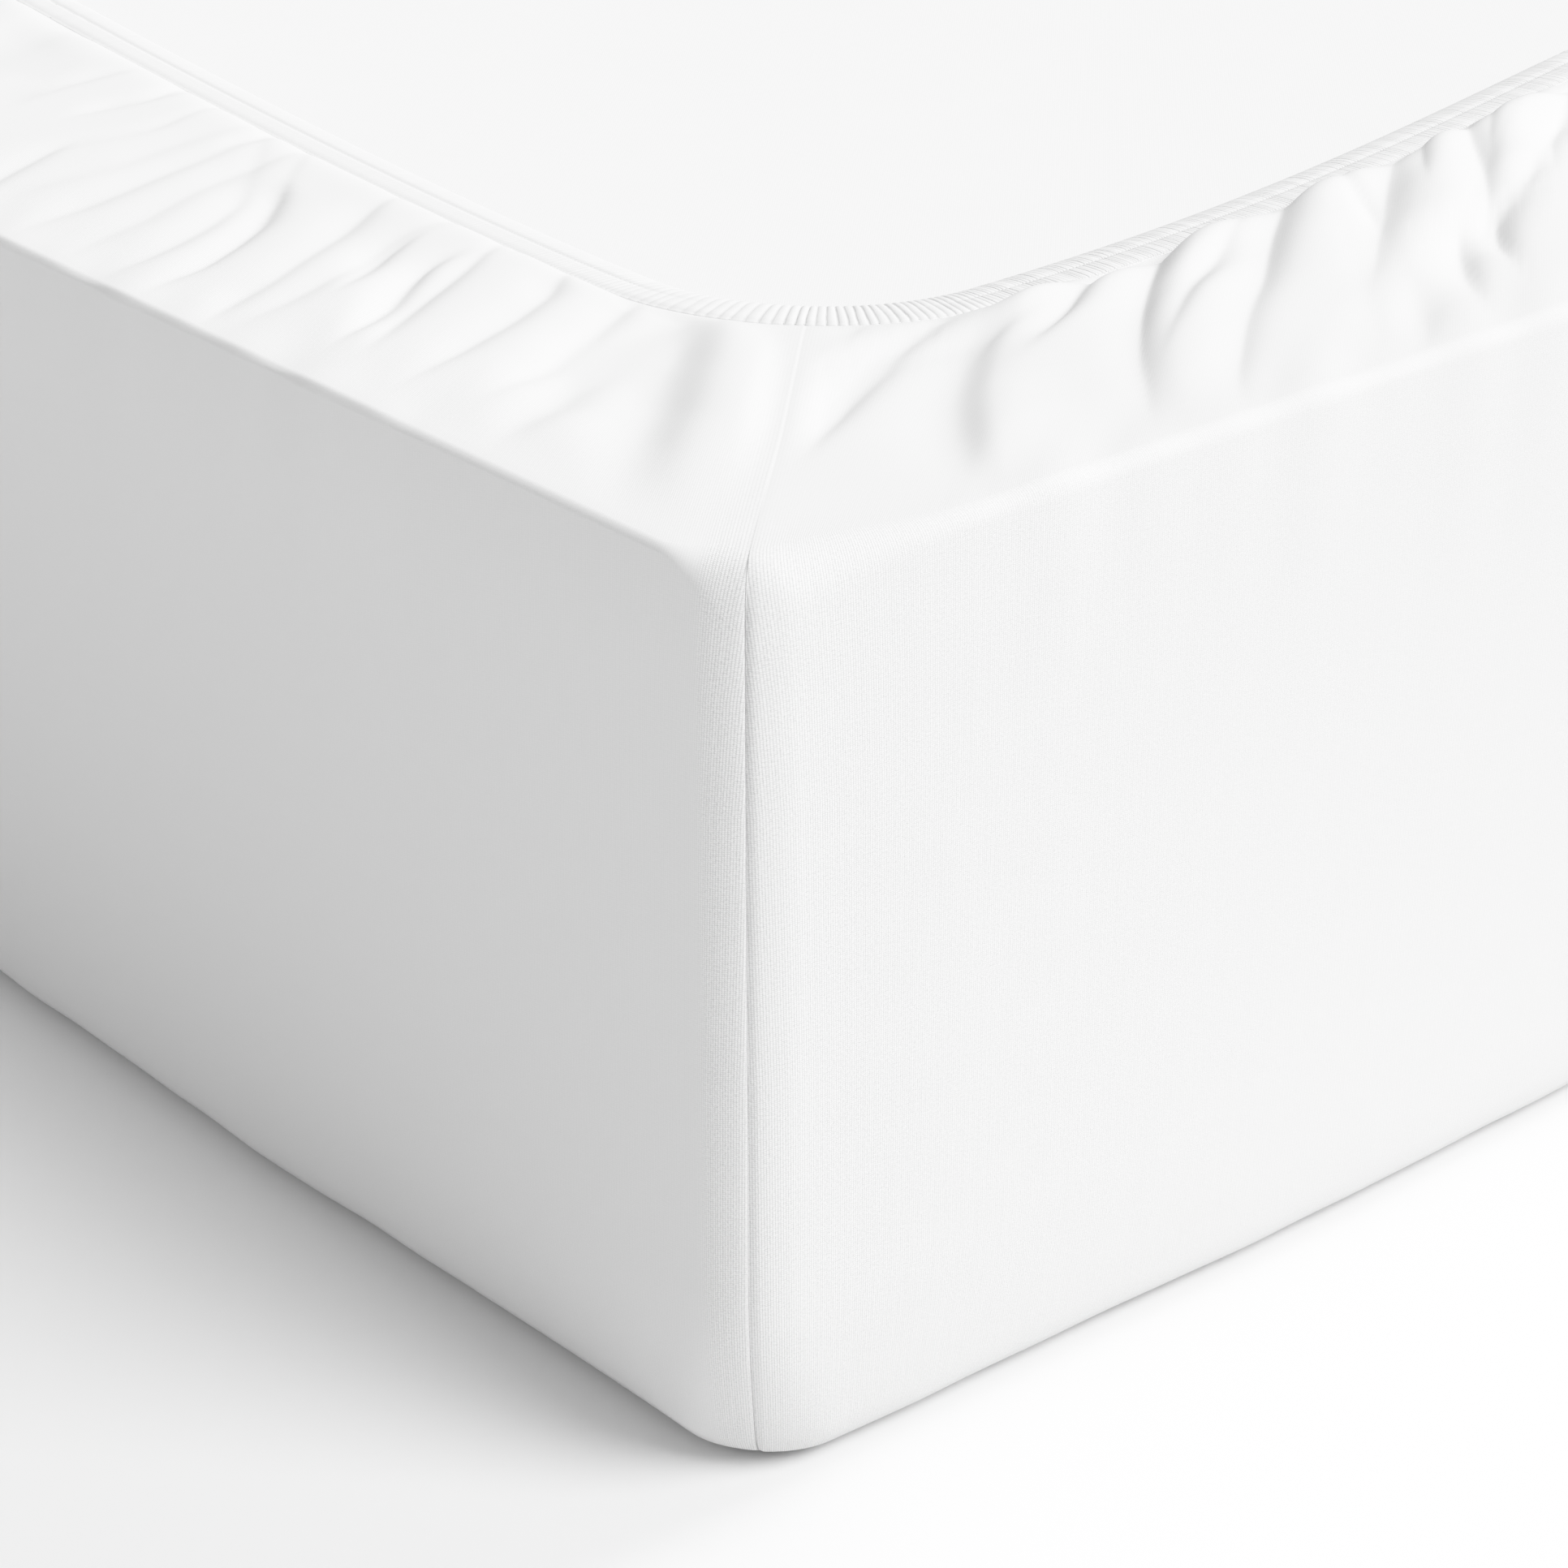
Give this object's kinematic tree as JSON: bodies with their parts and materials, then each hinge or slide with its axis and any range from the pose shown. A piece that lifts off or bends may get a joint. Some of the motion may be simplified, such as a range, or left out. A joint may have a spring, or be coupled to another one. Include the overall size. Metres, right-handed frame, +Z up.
{
  "type": "fitted sheet on mattress",
  "caption": "White jersey fitted sheet pulled over a double mattress that lies sleeping side down, with its gathered elastic hem drawn in round the underside.",
  "frame": {"origin": "middle of the face that lies on the floor, which is the made-up mattress's sleeping side", "axes": "+X along the mattress's length, +Y across it, +Z up to the side with the gathered hem"},
  "size_m": [2, 1.4, 0.2551],
  "materials": {
    "jersey": "matt white single jersey with fine upright wales",
    "ticking": "plain matt white mattress cover"
  },
  "bodies": {
    "root": {"fitted_sheet": "jersey", "mattress": "ticking"}
  },
  "joints": []
}
